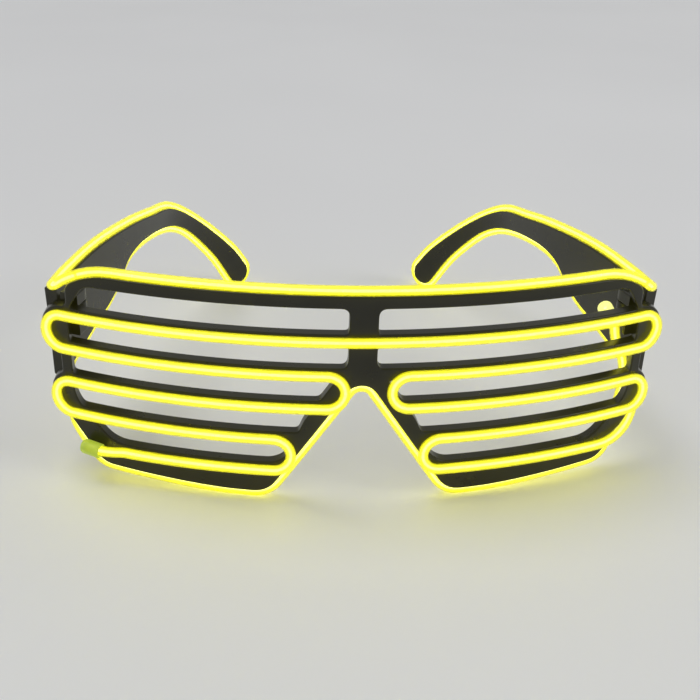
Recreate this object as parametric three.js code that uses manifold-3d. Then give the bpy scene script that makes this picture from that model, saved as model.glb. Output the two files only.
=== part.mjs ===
// Light-up party glasses: a wrapped front of slats, two folding temples and one glowing wire laid along them.
// Millimetres, +Z up, +X to the viewer's right, the front faces -Y.
// The glasses stand open, on the wire under both lenses and at both temple tips.
import * as THREE from "three";
import { mergeVertices } from "three/addons/utils/BufferGeometryUtils.js";
import Module from "manifold-3d";

// Glowing wire
const WIRE_DIAMETER = 2.5;
const WIRE_SIDES = 8;
const STEP_SHARE = 3; // diameters from one section of the wire to the next
const SEAT_DEPTH = 0.4; // how deep the wire lies in a moulding
const SEAT_CLEARANCE = 0.12;

// Front moulding: places are along the wrap from the bridge, and up from the table
const WRAP_RADIUS = 168;
const FRONT_WALL = 3.2;
const FRONT_TOP = 53.95;
const BROW_HEIGHT = 3;
const SLAT_ROWS = 4;
const SLAT_HEIGHT = 3.2;
const BROW_GAP_SHARE = 1.3605; // of the pitch of the rows, from the highest slat to the wire on the brow
const LOWEST_ROW = 8.7;
const BRIDGE_WIDTH = 6.6;
const SIDE_EDGE = 73.2;
const SIDE_RIM = 2.9;
const LOOP_MARGIN = 0.7; // moulding that shows outside the wire's outer loops
const OUTER_LOOP_HIGH = 76; // how far out the wire turns back, between the two upper slats
const OUTER_LOOP_LOW = 75; // and between the two lower ones
const INNER_LOOP_HIGH_RIGHT = 7; // how near to the bridge it turns back on each side
const INNER_LOOP_HIGH_LEFT = 3.8;
const INNER_LOOP_LOW_RIGHT = 15.2;
const INNER_LOOP_LOW_LEFT = 16.2;
const ROW_END_RIGHT = 62;
const ROW_END_LEFT = 57.5;

// Lower outline, as the centre of the wire that edges it
const NOSE_PEAK = 33.4; // where the two sides of the nose notch would meet
const NOSE_FOOT = 21.5;
const NOSE_TOP_RADIUS = 3.2;
const NOSE_FOOT_RADIUS = 7;
const NOSE_RIM = 4.8;
const LENS_LOWEST = 32;
const LENS_BELLY_RADIUS = 160;
const LENS_CORNER = 64.3;
const LENS_CORNER_RISE = 2.2;
const LENS_CORNER_RADIUS = 6;
const SIDE_SLANT = 53.8; // degrees

// Lens opening
const OPENING_TOP_RADIUS = 1.5;
const OPENING_CUT_ALONG = 4.6; // the upper outer corner, cut off
const OPENING_CUT_UP = 7.6;
const OPENING_CUT_RADIUS = 4;
const OPENING_SLANT_ALONG = 9.8; // the lower outer corner
const OPENING_SLANT_UP = 10.7;
const OPENING_SLANT_RADIUS = 8;
const OPENING_FOOT = 18;
const OPENING_FOOT_RADIUS = 6;
const OPENING_KNEE = 22;
const OPENING_KNEE_RADIUS = 4;
const OPENING_PEAK_RADIUS = 3;

// Outer ends of the brow, which slopes down from its shoulder
const BROW_SHOULDER = 64;
const BROW_SHOULDER_RADIUS = 21.3;
const BROW_CORNER = 70.4;
const BROW_CORNER_DROP = 3.7; // below the top
const BROW_CORNER_RADIUS = 2.5;
const NECK_DROP = 8.35;
const NECK_RADIUS = 1.5;
const BROW_WIRE_END = 68; // where the wire leaves the moulding for the temple

// Temples: places are along the temple from its front end, and up from the table
const ARM_END_X = 73.2;
const ARM_END_Y = 20;
const ARM_TOE_IN = 13.2; // degrees
const ARM_STRAIGHT = 78;
const ARM_CURL_RADIUS = 80;
const ARM_LENGTH = 130;
const ARM_DROP = 4.45; // from the top of the front to that of the temple
const ARM_THICKNESS = 3.2;
const ARM_CHAMFER = 0.4;
const ARM_TIP_RADIUS = 4.8; // of the wire's turn round the tip
const ARM_TIP_SHARE = 0.941; // of the length, to the middle of that turn
const ARM_TIP_SLOPE = 50; // degrees below level
const ARM_SEAT_START = 7.5;
const ARM_TIP_STRETCH = 12;
// The wire over and under the temple, as shares of the length and the height
const UPPER_STRAND_SHARES = [
  [0, 0.968],
  [0.166, 0.986],
  [0.261, 0.978],
  [0.418, 0.934],
  [0.53, 0.885],
  [0.657, 0.818],
  [0.783, 0.638],
  [0.926, 0.323],
];
const LOWER_STRAND_SHARES = [
  [0, 0.452],
  [0.095, 0.513],
  [0.174, 0.56],
  [0.25, 0.598],
  [0.308, 0.655],
  [0.356, 0.725],
  [0.418, 0.754],
  [0.514, 0.741],
  [0.608, 0.699],
  [0.676, 0.646],
  [0.735, 0.564],
  [0.799, 0.424],
  [0.854, 0.273],
];

// Hinges
const HINGE_X = 67.2;
const HINGE_Y = 22;
const HINGE_DROP = 17.45; // from the top of the front to the foot of its hinges
const KNUCKLE_RADIUS = 2.3;
const KNUCKLE_GAP = 0.3;
const LUG_HEIGHT = 3;
const LUG_LEAN = 14.5; // degrees outwards, from the hinge to the rim
const ARM_KNUCKLE_HEIGHT = 3.9;
const ARM_END_GAP = 0.4; // between the temple's front end and the back of the front
const PIN_RADIUS = 0.9;
const PIN_CLEARANCE = 0.1;
const PIN_HEAD_RADIUS = 1.7;
const PIN_HEAD_HEIGHT = 0.8;
const PIN_HEAD_CHAMFER = 0.2;

// Sleeves over the two ends of the wire
const SLEEVE_WALL = 0.45;
const SLEEVE_CLEARANCE = 0.12;
const SLEEVE_ROUND = 1.1;
const CAP_LENGTH = 5.2;
const CAP_OVERLAP = 3.7;
const FEED_SLEEVE_LENGTH = 4.8;
const FEED_SLEEVE_OVERLAP = 3.6;
const LEAD_HOLE_RADIUS = 0.5;

// The wire's free stretches, point by point: along the wrap, up, and out from the front's face.
const FEED_ROUTE = [
  [63.7, 44, -5.25],
  [65.8, 41.2, -5.2],
  [67.4, 38.6, -5],
  [68.2, 35.4, -4.8],
  [70.5, 31.4, -4.8],
  [72.2, 27.6, -4.8],
  [73.1, 23, -4.8],
  [72.8, 18.6, -4.7],
  [71.7, 14.6, -4.2],
  [69.8, 11, -3],
  [67.7, 7.9, -1.9],
];
const RISER_LEFT_ROUTE = [
  [69.8, 10.2, -1.3],
  [72, 12.6, -2],
  [74, 14.8, -3.4],
];
// These are up from where the lower strand starts on a temple.
const LOW_CROSSING_LEFT_ROUTE = [
  [75.3, -5.4, -4.9],
  [76.4, -3, -5.6],
  [77.7, -0.4, -7.4],
];
const LOW_CROSSING_RIGHT_ROUTE = [
  [77.7, -0.2, -7.4],
  [77.2, -2.5, -5.4],
];
// This one is up from the top of the front.
const TOP_CROSSING_ROUTE = [
  [71.9, -3, -1.6],
  [74.3, -4.6, -1.9],
  [76.2, -5.5, -3.2],
  [77.3, -5.9, -5.2],
];
const RISER_RIGHT_ROUTE = [
  [76.4, 17.3, -3.3],
  [74.3, 14.8, -1.2],
  [71.3, 12.2, 0.3],
  [68, 10, 0.85],
  [65, 8.9, 0.85],
];
const END_ROUTE = [
  [60.6, 8.6, 1.5],
  [63.4, 8.8, 2.1],
  [66.7, 9.2, 2.1],
];

// Fineness of the round shapes
const ROUND_SIDES = 16;
const OUTLINE_TURN = 15; // degrees of a rounded corner for each side
const WIRE_TURN = 22.5;
const WRAP_SIDES = 24;
const SAME_PLACE = 1e-3;
const CRUMB_SHARE = 1e-3; // of a cube as wide as the wire

// Worked out from the sizes above
const OVERRUN = FRONT_WALL * 1.5; // how far cutters reach past what they cut
const WIRE_RADIUS = WIRE_DIAMETER / 2;
const WIRE_STEP = WIRE_DIAMETER * STEP_SHARE;
const CRUMB = CRUMB_SHARE * WIRE_DIAMETER ** 3;
const WRAP_STEP = ((OUTER_LOOP_HIGH + OVERRUN) * 2) / WRAP_SIDES; // from one bend of the wrap to the next
const SEAT_OFFSET = WIRE_RADIUS - SEAT_DEPTH; // from a moulding's edge or face out to the wire's centre
const REST_CENTRE = WIRE_RADIUS - WIRE_DIAMETER / 10; // a tenth of its diameter is cut flat there
const BROW_ROW = FRONT_TOP + SEAT_OFFSET;
const ROW_PITCH = (BROW_ROW - LOWEST_ROW) / (SLAT_ROWS + BROW_GAP_SHARE);
const OPENING_TOP = FRONT_TOP - BROW_HEIGHT;
const OPENING_BOTTOM = LOWEST_ROW + SLAT_HEIGHT / 2;
const OPENING_OUTER = SIDE_EDGE - SIDE_RIM;
const ARM_HEIGHT = FRONT_TOP - ARM_DROP;
const LOWER_STRAND_START = LOWER_STRAND_SHARES[0][1] * ARM_HEIGHT;
const HINGE_FOOT = FRONT_TOP - HINGE_DROP;
const LUG_TOP_FOOT = HINGE_FOOT + LUG_HEIGHT + ARM_KNUCKLE_HEIGHT + KNUCKLE_GAP * 2;
const HINGE_TOP = LUG_TOP_FOOT + LUG_HEIGHT;

const rowUp = (row) => LOWEST_ROW + row * ROW_PITCH; // row 0 is the lowest
const radians = THREE.MathUtils.degToRad;
const flat = (along, up) => new THREE.Vector2(along, up);
const wasm = await Module();
wasm.setup();

// Solids

function solidOf(geometry) {
  const bare = geometry.clone();
  bare.deleteAttribute("normal");
  bare.deleteAttribute("uv");
  const merged = mergeVertices(bare);
  const triVerts = [];
  for (let start = 0; start < merged.index.count; start += 3) {
    const corners = [0, 1, 2].map((corner) => merged.index.getX(start + corner));
    if (new Set(corners).size === corners.length) triVerts.push(...corners);
  }
  const vertProperties = new Float32Array(merged.attributes.position.array);
  const mesh = new wasm.Mesh({ numProp: 3, vertProperties, triVerts: new Uint32Array(triVerts) });
  return new wasm.Manifold(mesh);
}

function geometryOf(solid) {
  const mesh = solid.getMesh();
  const geometry = new THREE.BufferGeometry();
  const places = new Float32Array(mesh.vertProperties);
  geometry.setAttribute("position", new THREE.BufferAttribute(places, mesh.numProp));
  geometry.setIndex(new THREE.BufferAttribute(new Uint32Array(mesh.triVerts), 1));
  const faceted = geometry.toNonIndexed();
  faceted.computeVertexNormals();
  return faceted;
}

// The same solid on the other side of the bridge.
function mirrored(solid) {
  const geometry = geometryOf(solid);
  const places = geometry.attributes.position;
  for (let start = 0; start < places.count; start += 3) {
    const corners = [2, 1, 0].map((corner) => new THREE.Vector3().fromBufferAttribute(places, start + corner));
    corners.forEach((corner, turn) => places.setXYZ(start + turn, -corner.x, corner.y, corner.z));
  }
  return solidOf(geometry);
}

const joined = (solids) => solids.reduce((whole, solid) => whole.add(solid));

// What is left of a solid after cuts, without the crumbs that a grazing cut leaves.
function without(solid, cutters) {
  const left = cutters.reduce((whole, cutter) => whole.subtract(cutter), solid);
  return joined(left.decompose().filter((body) => body.volume() > CRUMB));
}

// Lines drawn flat

// A line with rounded corners, from a list of [along, up, radius].
function roundedLine(corners, turnStep) {
  const points = [];
  corners.forEach(([along, up, radius], index) => {
    const corner = flat(along, up);
    if (!radius) {
      points.push(corner);
      return;
    }
    const back = flat(...corners[index - 1]).sub(corner).normalize();
    const ahead = flat(...corners[index + 1]).sub(corner).normalize();
    const half = back.angleTo(ahead) / 2;
    const centre = back.clone().add(ahead).setLength(radius / Math.sin(half)).add(corner);
    const turn = Math.sign(ahead.cross(back)) * (Math.PI - 2 * half);
    const sides = Math.max(1, Math.round(Math.abs(turn) / radians(turnStep)));
    const first = back.clone().multiplyScalar(radius / Math.tan(half)).add(corner);
    for (let side = 0; side <= sides; side += 1) {
      points.push(first.clone().rotateAround(centre, (turn * side) / sides));
    }
  });
  return points.filter((point, index) => index === 0 || point.distanceTo(points[index - 1]) > SAME_PLACE);
}

// The same line moved sideways, to its left where the distance is positive.
function movedAside(points, distance) {
  return points.map((point, index) => {
    const before = points[Math.max(index - 1, 0)];
    const after = points[Math.min(index + 1, points.length - 1)];
    const ahead = after.clone().sub(before).normalize();
    return flat(point.x - ahead.y * distance, point.y + ahead.x * distance);
  });
}

// The same line with a point added wherever it crosses from one flat of the wrap to the next.
function bentWithWrap(points) {
  return points.flatMap((point, index) => {
    if (index === 0) return [point];
    const start = points[index - 1];
    const run = point.x - start.x;
    const [near, far] = run > 0 ? [start.x, point.x] : [point.x, start.x];
    const bends = [];
    for (let bend = Math.ceil(near / WRAP_STEP); bend * WRAP_STEP < far; bend += 1) {
      const share = (bend * WRAP_STEP - start.x) / run;
      const nearest = Math.min(share, 1 - share) * Math.abs(run);
      if (nearest > WIRE_RADIUS) bends.push(start.clone().lerp(point, share));
    }
    return [...(run > 0 ? bends : bends.reverse()), point];
  });
}

// A smooth curve through the points, cut into even stretches.
function smoothed(points, count) {
  const curve = new THREE.CatmullRomCurve3(points.map((point) => new THREE.Vector3(point.x, point.y, 0)));
  return curve.getSpacedPoints(count).map((point) => flat(point.x, point.y));
}

const reversed = (points) => [...points].reverse();
const otherSide = (points) => points.map((point) => flat(-point.x, point.y));

// From the flat drawings to the real places

function onWrap(along, up, out) {
  const angle = along / WRAP_RADIUS;
  const reach = WRAP_RADIUS + out;
  return new THREE.Vector3(reach * Math.sin(angle), WRAP_RADIUS - reach * Math.cos(angle), up);
}

// Straight behind a place on the front's face, halfway through the wall.
function insideWall(along, up) {
  const { x } = onWrap(along, up, 0);
  const reach = WRAP_RADIUS - FRONT_WALL / 2;
  return new THREE.Vector3(x, WRAP_RADIUS - Math.sqrt(reach * reach - x * x), up);
}

// A place on the right temple, and how far outwards it lies from the temple's middle.
function onArm(along, up, out) {
  const heading = radians(ARM_TOE_IN) + Math.max(0, along - ARM_STRAIGHT) / ARM_CURL_RADIUS;
  const straight = Math.min(along, ARM_STRAIGHT);
  const ahead = flat(0, 1).rotateAround(flat(0, 0), radians(ARM_TOE_IN));
  const side = flat(ahead.y, -ahead.x);
  const centre = flat(ARM_END_X, ARM_END_Y).addScaledVector(ahead, straight);
  centre.addScaledVector(side, -ARM_CURL_RADIUS);
  const reach = ARM_CURL_RADIUS + out;
  return new THREE.Vector3(centre.x + reach * Math.cos(heading), centre.y + reach * Math.sin(heading), up);
}

const toLeft = (points) => points.map((point) => new THREE.Vector3(-point.x, point.y, point.z));

// A curved layer that follows the wrap.
function wrapLayer(inner, outer, foot, top) {
  const reach = (WRAP_SIDES / 2) * WRAP_STEP;
  const line = (out, start) => {
    return Array.from({ length: WRAP_SIDES + 1 }, (unused, side) => {
      const place = onWrap(start * (1 - (2 * side) / WRAP_SIDES), 0, out);
      return flat(place.x, place.y);
    });
  };
  const shape = new THREE.Shape([...line(outer, -reach), ...line(inner, reach)]);
  const geometry = new THREE.ExtrudeGeometry(shape, { depth: top - foot, bevelEnabled: false });
  geometry.translate(0, 0, foot);
  return solidOf(geometry);
}

// Everything before and behind an outline on the front, straight through as its mould opens.
function drawnThrough(points) {
  const shape = new THREE.Shape(points.map((point) => flat(onWrap(point.x, 0, 0).x, point.y)));
  const deepest = onWrap(OUTER_LOOP_HIGH, 0, -FRONT_WALL).y + OVERRUN * 2;
  const geometry = new THREE.ExtrudeGeometry(shape, { depth: deepest + OVERRUN, bevelEnabled: false });
  geometry.rotateX(Math.PI / 2);
  geometry.translate(0, deepest, 0);
  return solidOf(geometry);
}

// Wire

// A curve from point to point, whose ends are square to the stretches that follow on from them.
class Route extends THREE.Curve {
  constructor(points, before, after) {
    super();
    this.points = points;
    this.around = [before ?? points[0], ...points, after ?? points.at(-1)];
  }
  getPointAt(share) {
    return this.points[Math.round(share * (this.points.length - 1))].clone();
  }
  getTangentAt(share) {
    const index = Math.round(share * (this.points.length - 1));
    const back = this.around[index + 1].clone().sub(this.around[index]).normalize();
    const ahead = this.around[index + 2].clone().sub(this.around[index + 1]).normalize();
    return back.add(ahead).normalize();
  }
}

function wireSolid({ points, before, after }, radius) {
  const section = Array.from({ length: WIRE_SIDES }, (unused, side) => {
    return flat(radius, 0).rotateAround(flat(0, 0), (2 * Math.PI * side) / WIRE_SIDES);
  });
  const extrudePath = new Route(points, before, after);
  const options = { steps: points.length - 1, extrudePath, bevelEnabled: false };
  return solidOf(new THREE.ExtrudeGeometry(new THREE.Shape(section), options));
}

const onFace = (points) => bentWithWrap(points).map((point) => onWrap(point.x, point.y, SEAT_OFFSET));
const freely = (route, foot = 0) => route.map(([along, up, out]) => onWrap(along, foot + up, out));

// To and fro over the slats, from the lowest row on the right, across the bridge and down on the left.
function rowsLine() {
  const half = ROW_PITCH / 2;
  const turns = [
    [INNER_LOOP_LOW_RIGHT, 0],
    [OUTER_LOOP_LOW, 1],
    [INNER_LOOP_HIGH_RIGHT, 2],
    [OUTER_LOOP_HIGH, 3],
  ];
  const leftTurns = [
    [-OUTER_LOOP_HIGH, 3],
    [-INNER_LOOP_HIGH_LEFT, 2],
    [-OUTER_LOOP_LOW, 1],
    [-INNER_LOOP_LOW_LEFT, 0],
  ];
  const rising = turns.flatMap(([along, row]) => [
    [along, rowUp(row), half],
    [along, rowUp(row + 1), half],
  ]);
  const falling = leftTurns.flatMap(([along, row]) => [
    [along, rowUp(row + 1), half],
    [along, rowUp(row), half],
  ]);
  const start = [ROW_END_RIGHT, rowUp(0)];
  const end = [-ROW_END_LEFT, rowUp(0)];
  return roundedLine([start, ...rising, ...falling, end], WIRE_TURN);
}

// The edge of the front's right half, from the middle of the top to the first row.
const browEdge = [
  [0, FRONT_TOP],
  [BROW_SHOULDER, FRONT_TOP, BROW_SHOULDER_RADIUS],
  [BROW_CORNER, FRONT_TOP - BROW_CORNER_DROP, BROW_CORNER_RADIUS],
  [BROW_CORNER, FRONT_TOP - NECK_DROP, NECK_RADIUS],
  [SIDE_EDGE, rowUp(SLAT_ROWS)],
];

// Over the right half of the brow, as far as the wire stays on the moulding.
function browLine() {
  const line = movedAside(roundedLine(browEdge, OUTLINE_TURN), SEAT_OFFSET);
  const foot = FRONT_TOP - BROW_CORNER_DROP;
  return line.filter((point) => point.x > 0 && point.x < BROW_WIRE_END && point.y > foot);
}

// The edge under the right lens, from the peak of the nose notch to the side.
function rimLine() {
  const slant = radians(SIDE_SLANT);
  const run = SIDE_EDGE + SEAT_OFFSET * Math.sin(slant) - LENS_CORNER;
  const cornerUp = REST_CENTRE + LENS_CORNER_RISE;
  const corners = [
    [-NOSE_FOOT, REST_CENTRE],
    [0, NOSE_PEAK, NOSE_TOP_RADIUS],
    [NOSE_FOOT, REST_CENTRE, NOSE_FOOT_RADIUS],
    [LENS_LOWEST, REST_CENTRE, LENS_BELLY_RADIUS],
    [LENS_CORNER, cornerUp, LENS_CORNER_RADIUS],
    [LENS_CORNER + run, cornerUp + run * Math.tan(slant)],
  ];
  return roundedLine(corners, OUTLINE_TURN).filter((point) => point.x > 0);
}

const armPlaces = (shares) => shares.map(([along, up]) => flat(along * ARM_LENGTH, up * ARM_HEIGHT));
const tipCentre = flat(ARM_TIP_SHARE * ARM_LENGTH, REST_CENTRE + ARM_TIP_RADIUS);

// A place on a round about the temple's tip, turned from straight ahead towards the upper strand.
function roundTip(radius, turn) {
  return flat(radius, 0).rotateAround(flat(0, 0), turn - radians(ARM_TIP_SLOPE)).add(tipCentre);
}

function strandLine(shares, side) {
  const points = [...armPlaces(shares), roundTip(ARM_TIP_RADIUS, (side * Math.PI) / 2)];
  return smoothed(points, Math.round(ARM_LENGTH / WIRE_STEP));
}

const upperLine = strandLine(UPPER_STRAND_SHARES, 1);
const lowerLine = strandLine(LOWER_STRAND_SHARES, -1);

function armWire() {
  const turnSides = Math.round(180 / WIRE_TURN);
  const turn = Array.from({ length: turnSides - 1 }, (unused, side) => {
    return roundTip(ARM_TIP_RADIUS, Math.PI * (0.5 - (side + 1) / turnSides));
  });
  const whole = [...upperLine, ...turn, ...reversed(lowerLine)].filter((point) => point.x > ARM_SEAT_START);
  const places = whole.map((point) => onArm(point.x, point.y, 0));
  const atTip = whole.map((point) => point.distanceTo(tipCentre) < ARM_TIP_STRETCH);
  const first = atTip.indexOf(true);
  const last = atTip.lastIndexOf(true) + 1;
  return { upper: places.slice(0, first), tip: places.slice(first, last), lower: places.slice(last) };
}

// The one wire from its feed end to its capped end, as the stretches that the moving parts divide it into.
function wireStretches() {
  const rim = bentWithWrap(rimLine());
  const onNose = (point) => point.x < NOSE_FOOT && point.y > REST_CENTRE + WIRE_RADIUS;
  const onSlant = (point) => point.y > rowUp(0) - WIRE_DIAMETER;
  const behind = (points) => points.map((point) => insideWall(point.x, point.y));
  const nose = rim.filter(onNose);
  const belly = behind(rim.filter((point) => !onNose(point) && !onSlant(point)));
  const brow = bentWithWrap([flat(0, BROW_ROW), ...browLine()]).slice(1);
  const arm = armWire();
  const top = freely(TOP_CROSSING_ROUTE, FRONT_TOP);
  const stretches = [
    ["wire_feed", freely(FEED_ROUTE)],
    ["wire_rim_right", reversed(belly)],
    ["wire_nose", behind([...reversed(nose), ...otherSide(nose)])],
    ["wire_rim_left", toLeft(belly)],
    ["wire_riser_left", toLeft(freely(RISER_LEFT_ROUTE))],
    ["wire_crossing_low_left", toLeft(freely(LOW_CROSSING_LEFT_ROUTE, LOWER_STRAND_START))],
    ["wire_lower_left", toLeft(reversed(arm.lower))],
    ["wire_tip_left", toLeft(reversed(arm.tip))],
    ["wire_upper_left", toLeft(reversed(arm.upper))],
    ["wire_crossing_top_left", toLeft(reversed(top))],
    ["wire_brow", behind([...reversed(otherSide(brow)), ...brow])],
    ["wire_crossing_top_right", top],
    ["wire_upper_right", arm.upper],
    ["wire_tip_right", arm.tip],
    ["wire_lower_right", arm.lower],
    ["wire_crossing_low_right", freely(LOW_CROSSING_RIGHT_ROUTE, LOWER_STRAND_START)],
    ["wire_riser_right", freely(RISER_RIGHT_ROUTE)],
    ["wire_rows", [...onFace(rowsLine()), ...toLeft(freely(END_ROUTE))]],
  ];
  return stretches.map(([name, own], index) => {
    const next = stretches[index + 1]?.[1] ?? [];
    const points = [...own, ...next.slice(0, 1)];
    return { name, points, before: stretches[index - 1]?.[1].at(-1), after: next[1] };
  });
}

const stretches = wireStretches();
const wholeRoute = stretches.flatMap(({ points }) => points.slice(0, -1));
const channel = wireSolid({ points: wholeRoute }, WIRE_RADIUS + SEAT_CLEARANCE);

// Front moulding

// The right lens opening, which the slats cross.
function openingLine() {
  const slope = NOSE_FOOT / (NOSE_PEAK - REST_CENTRE);
  const rimAside = NOSE_RIM * Math.hypot(1, slope);
  const inner = BRIDGE_WIDTH / 2;
  const peakUp = NOSE_PEAK - (inner - rimAside) / slope;
  const knee = (NOSE_PEAK - OPENING_KNEE) * slope + rimAside;
  const corners = [
    [inner, (peakUp + OPENING_TOP) / 2],
    [inner, peakUp, OPENING_PEAK_RADIUS],
    [knee, OPENING_KNEE, OPENING_KNEE_RADIUS],
    [OPENING_FOOT, OPENING_BOTTOM, OPENING_FOOT_RADIUS],
    [OPENING_OUTER - OPENING_SLANT_ALONG, OPENING_BOTTOM, OPENING_SLANT_RADIUS],
    [OPENING_OUTER, OPENING_BOTTOM + OPENING_SLANT_UP, OPENING_SLANT_RADIUS],
    [OPENING_OUTER, OPENING_TOP - OPENING_CUT_UP, OPENING_CUT_RADIUS],
    [OPENING_OUTER - OPENING_CUT_ALONG, OPENING_TOP, OPENING_CUT_RADIUS],
    [inner, OPENING_TOP, OPENING_TOP_RADIUS],
    [inner, (peakUp + OPENING_TOP) / 2],
  ];
  return roundedLine(corners, OUTLINE_TURN).slice(1);
}

function frontOutline() {
  const rim = rimLine();
  const lower = movedAside([...reversed(otherSide(rim)), ...rim], SEAT_OFFSET);
  const right = reversed(roundedLine(browEdge, OUTLINE_TURN));
  return [...lower, ...right, ...reversed(otherSide(right)).slice(1)];
}

// The round-ended tongue of the moulding under an outer loop of the wire, from inside the rim outwards.
function loopPad(loop, row) {
  const half = ROW_PITCH / 2;
  const radius = half + WIRE_RADIUS + LOOP_MARGIN;
  const outer = flat(loop - half, rowUp(row) + half);
  const inner = flat(Math.min(outer.x, SIDE_EDGE - radius), outer.y);
  const sides = ROUND_SIDES / 2;
  const halfRound = (centre, start) => {
    return Array.from({ length: sides + 1 }, (unused, side) => {
      return flat(centre.x + radius, centre.y).rotateAround(centre, start + (Math.PI * side) / sides);
    });
  };
  return [...halfRound(outer, -Math.PI / 2), ...halfRound(inner, Math.PI / 2)];
}

// A knuckle round the right hinge's axis, with a tongue that leads off to the piece that carries it.
function knuckle(heading, length, foot, height) {
  const half = ROUND_SIDES / 2;
  const centre = flat(HINGE_X, HINGE_Y);
  const start = flat(HINGE_X + KNUCKLE_RADIUS, HINGE_Y);
  const points = Array.from({ length: half + 1 }, (unused, side) => {
    return start.clone().rotateAround(centre, heading + Math.PI * (0.5 + side / half));
  });
  const ahead = flat(length, 0).rotateAround(flat(0, 0), heading);
  const ends = [points.at(-1), points[0]].map((point) => point.clone().add(ahead));
  const shape = new THREE.Shape([...points, ...ends]);
  const geometry = new THREE.ExtrudeGeometry(shape, { depth: height, bevelEnabled: false });
  geometry.translate(0, 0, foot);
  return solidOf(geometry);
}

// A straight round hole along the right hinge's axis.
function pinBore() {
  const radius = PIN_RADIUS + PIN_CLEARANCE;
  const length = HINGE_TOP - HINGE_FOOT + OVERRUN;
  const geometry = new THREE.CylinderGeometry(radius, radius, length, ROUND_SIDES);
  geometry.rotateX(Math.PI / 2);
  geometry.translate(HINGE_X, HINGE_Y, (HINGE_TOP + HINGE_FOOT) / 2);
  return solidOf(geometry);
}

const layer = wrapLayer(-FRONT_WALL, 0, 0, FRONT_TOP + OVERRUN);
const openings = { right: drawnThrough(openingLine()), left: drawnThrough(otherSide(openingLine())) };

function frontFrame() {
  const pads = [loopPad(OUTER_LOOP_HIGH, SLAT_ROWS - 1), loopPad(OUTER_LOOP_LOW, 1)];
  const outlines = [frontOutline(), ...pads, ...pads.map(otherSide)];
  const wall = layer.intersect(joined(outlines.map(drawnThrough)));
  const heading = radians(LUG_LEAN) - Math.PI / 2;
  const lugLength = (HINGE_Y - insideWall(HINGE_X, 0).y) / Math.cos(radians(LUG_LEAN));
  const lugs = [HINGE_FOOT, LUG_TOP_FOOT].map((foot) => knuckle(heading, lugLength, foot, LUG_HEIGHT));
  const open = without(wall, Object.values(openings));
  const ahead = wrapLayer(-SEAT_DEPTH, OVERRUN, 0, FRONT_TOP + OVERRUN);
  const lugPair = without(joined(lugs), [pinBore(), layer.subtract(open), ahead]);
  return without(joined([open, lugPair, mirrored(lugPair)]), [channel]);
}

function slat(side, row) {
  const across = wrapLayer(-FRONT_WALL, 0, rowUp(row) - SLAT_HEIGHT / 2, rowUp(row) + SLAT_HEIGHT / 2);
  return without(across.intersect(openings[side]), [channel]);
}

// Temples

// A closed skin over rings of as many points each, from one end to the other.
function loft(rings) {
  const around = rings[0].length;
  const geometry = new THREE.BufferGeometry().setFromPoints(rings.flat());
  const index = [];
  for (let ring = 0; ring + 1 < rings.length; ring += 1) {
    for (let point = 0; point < around; point += 1) {
      const here = ring * around + point;
      const beside = ring * around + ((point + 1) % around);
      index.push(here, beside + around, beside, here, here + around, beside + around);
    }
  }
  const last = (rings.length - 1) * around;
  for (let point = 1; point + 1 < around; point += 1) {
    index.push(0, point, point + 1, last, last + point + 1, last + point);
  }
  geometry.setIndex(index);
  return geometry;
}

// The temple's section between two places on its lower and upper edges.
function armRing(lower, upper) {
  const rise = upper.clone().sub(lower).setLength(ARM_CHAMFER);
  const [low, high] = [lower.clone().add(rise), upper.clone().sub(rise)];
  const half = ARM_THICKNESS / 2;
  const narrow = half - ARM_CHAMFER;
  const corners = [
    [lower, -narrow],
    [lower, narrow],
    [low, half],
    [high, half],
    [upper, narrow],
    [upper, -narrow],
    [high, -half],
    [low, -half],
  ];
  return corners.map(([place, out]) => onArm(place.x, place.y, out));
}

function armBlank() {
  const edge = (line, distance) => {
    const points = movedAside(line, distance);
    return [flat(points[0].x - OVERRUN, points[0].y), ...points];
  };
  const upper = edge(upperLine, -SEAT_OFFSET);
  const lower = edge(lowerLine, SEAT_OFFSET);
  const rings = lower.map((place, station) => armRing(place, upper[station]));
  for (let turn = Math.PI / 2 - radians(WIRE_TURN); turn > SAME_PLACE; turn -= radians(WIRE_TURN)) {
    const radius = ARM_TIP_RADIUS - SEAT_OFFSET;
    rings.push(armRing(roundTip(radius, -turn), roundTip(radius, turn)));
  }
  const heading = radians(ARM_TOE_IN);
  const toMiddle = flat(ARM_END_X - HINGE_X, ARM_END_Y - HINGE_Y).rotateAround(flat(0, 0), -heading).x;
  const foot = HINGE_FOOT + LUG_HEIGHT + KNUCKLE_GAP;
  const carried = solidOf(loft(rings)).add(knuckle(heading, toMiddle, foot, ARM_KNUCKLE_HEIGHT));
  const before = wrapLayer(-FRONT_WALL - ARM_END_GAP, OVERRUN, 0, FRONT_TOP);
  return without(carried, [pinBore(), before]);
}

const blank = armBlank();

function temple(side) {
  return without(side === "right" ? blank : mirrored(blank), [channel]);
}

// Small pieces

function hingePin() {
  const top = HINGE_TOP + PIN_HEAD_HEIGHT;
  const profile = [
    [0, HINGE_FOOT],
    [PIN_RADIUS, HINGE_FOOT],
    [PIN_RADIUS, HINGE_TOP],
    [PIN_HEAD_RADIUS, HINGE_TOP],
    [PIN_HEAD_RADIUS, top - PIN_HEAD_CHAMFER],
    [PIN_HEAD_RADIUS - PIN_HEAD_CHAMFER, top],
    [0, top],
  ];
  const geometry = new THREE.LatheGeometry(profile.map(([out, up]) => flat(out, up)), ROUND_SIDES);
  geometry.rotateX(Math.PI / 2);
  geometry.translate(HINGE_X, HINGE_Y, 0);
  return solidOf(geometry);
}

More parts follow.
